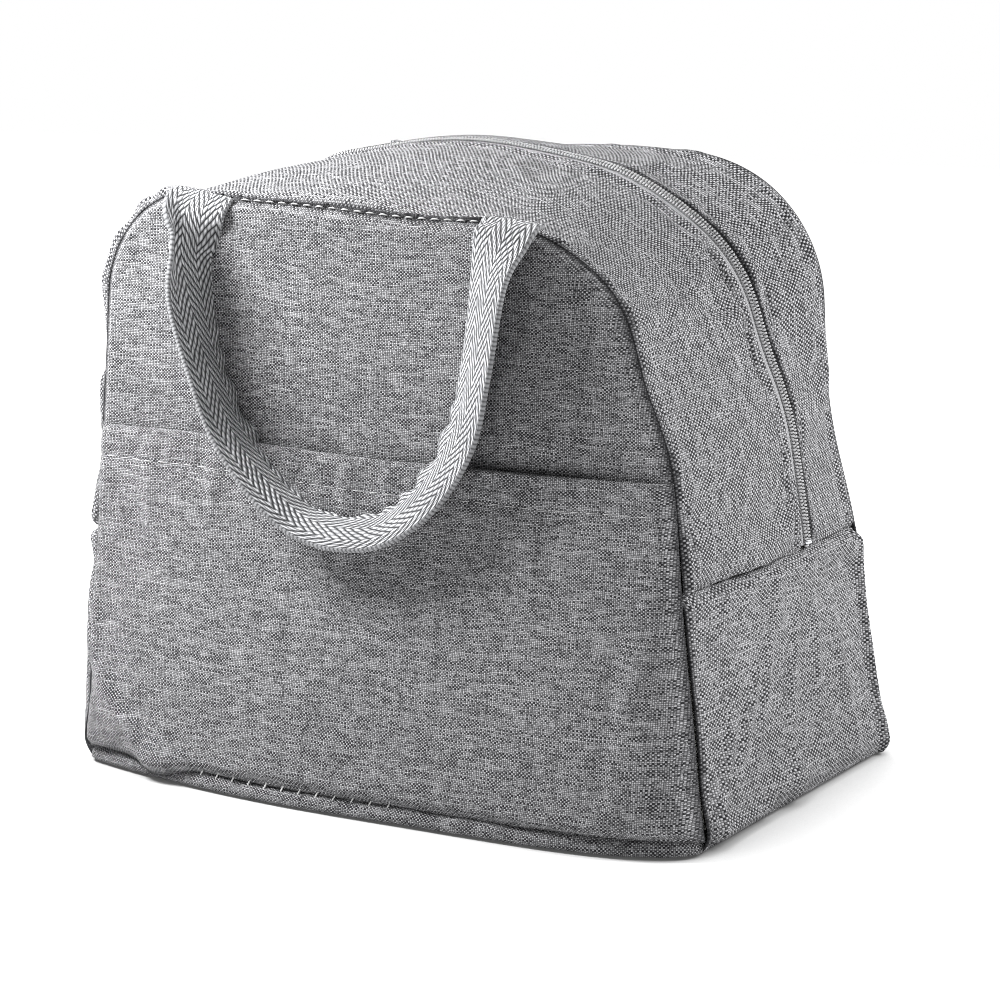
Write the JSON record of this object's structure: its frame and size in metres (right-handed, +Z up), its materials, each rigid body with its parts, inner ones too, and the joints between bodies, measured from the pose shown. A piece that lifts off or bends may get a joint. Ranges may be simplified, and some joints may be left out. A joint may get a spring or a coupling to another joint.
{
  "type": "insulated lunch bag",
  "caption": "Soft insulated lunch bag with a domed top, a zip over the top, a front slip pocket and webbing carrying handles.",
  "frame": {"origin": "centre of the base, on the ground", "axes": "+X to the right seen from the front, +Y towards the rear, +Z up"},
  "size_m": [0.2658, 0.1758, 0.2252],
  "materials": {
    "outer_cloth": "heather grey plain weave, matt",
    "foam": "closed-cell polyethylene foam",
    "foil_lining": "metallised film, creased, satin",
    "binding_tape": "ribbed binding tape",
    "zip_tape": "knitted zip tape",
    "zip_coil": "nylon coil",
    "zip_metal": "plated die casting",
    "webbing": "herringbone webbing",
    "thread": "polyester sewing thread"
  },
  "bodies": {
    "main_body": {"base_panel": "outer_cloth", "side_panel_left": "outer_cloth", "side_panel_right": "outer_cloth", "front_panel_lower": "outer_cloth", "rear_panel": "outer_cloth", "front_pocket_lower": "outer_cloth", "gusset_rear": "outer_cloth", "foam_base": "foam", "foam_side_left": "foam", "foam_side_right": "foam", "foam_front_lower": "foam", "foam_rear": "foam", "foam_gusset_rear": "foam", "lining_base": "foil_lining", "lining_side_left": "foil_lining", "lining_side_right": "foil_lining", "lining_front_lower": "foil_lining", "lining_rear": "foil_lining", "lining_gusset_rear": "foil_lining", "binding_front_lower": "binding_tape", "binding_rear": "binding_tape", "zip_tape_rear": "zip_tape", "zip_coil_rear": "zip_coil", "zip_end_stops": "zip_metal", "top_stitching_rear": "thread", "base_stitching": "thread"},
    "front_flap": {"front_panel_upper": "outer_cloth", "front_pocket_upper": "outer_cloth", "gusset_front": "outer_cloth", "foam_front_upper": "foam", "foam_gusset_front": "foam", "lining_front_upper": "foil_lining", "lining_gusset_front": "foil_lining", "binding_front_upper": "binding_tape", "zip_tape_front": "zip_tape", "zip_coil_front": "zip_coil", "top_stitching_front": "thread", "pocket_hem_stitching": "thread"},
    "front_handle": {"handle_front": "webbing"},
    "rear_handle": {"handle_rear": "webbing"},
    "slider": {"zip_slider": "zip_metal"},
    "pull": {"zip_pull": "zip_metal"}
  },
  "joints": [
    {"name": "front_flap_fold", "type": "hinge", "parent": "main_body", "child": "front_flap", "pos_m": [0, -0.0789, 0.08407], "axis": [1, 0, 0], "range_deg": [0, 35]},
    {"name": "front_handle_swing", "type": "hinge", "parent": "front_flap", "child": "front_handle", "pos_m": [0, -0.0734, 0.2105], "axis": [-1, 0, 0], "range_deg": [0, 190]},
    {"name": "rear_handle_swing", "type": "hinge", "parent": "main_body", "child": "rear_handle", "pos_m": [0, 0.0734, 0.2105], "axis": [1, 0, 0], "range_deg": [0, 190]},
    {"name": "zip_slide", "type": "slide", "parent": "main_body", "child": "slider", "axis": [0.087, -0.0118, 0.9961], "range_m": [0, 0.05]},
    {"name": "pull_swing", "type": "hinge", "parent": "slider", "child": "pull", "pos_m": [-0.12864, 0.02482, 0.09253], "axis": [0.001, 0.9999, 0.0117], "range_deg": [0, 170]}
  ]
}
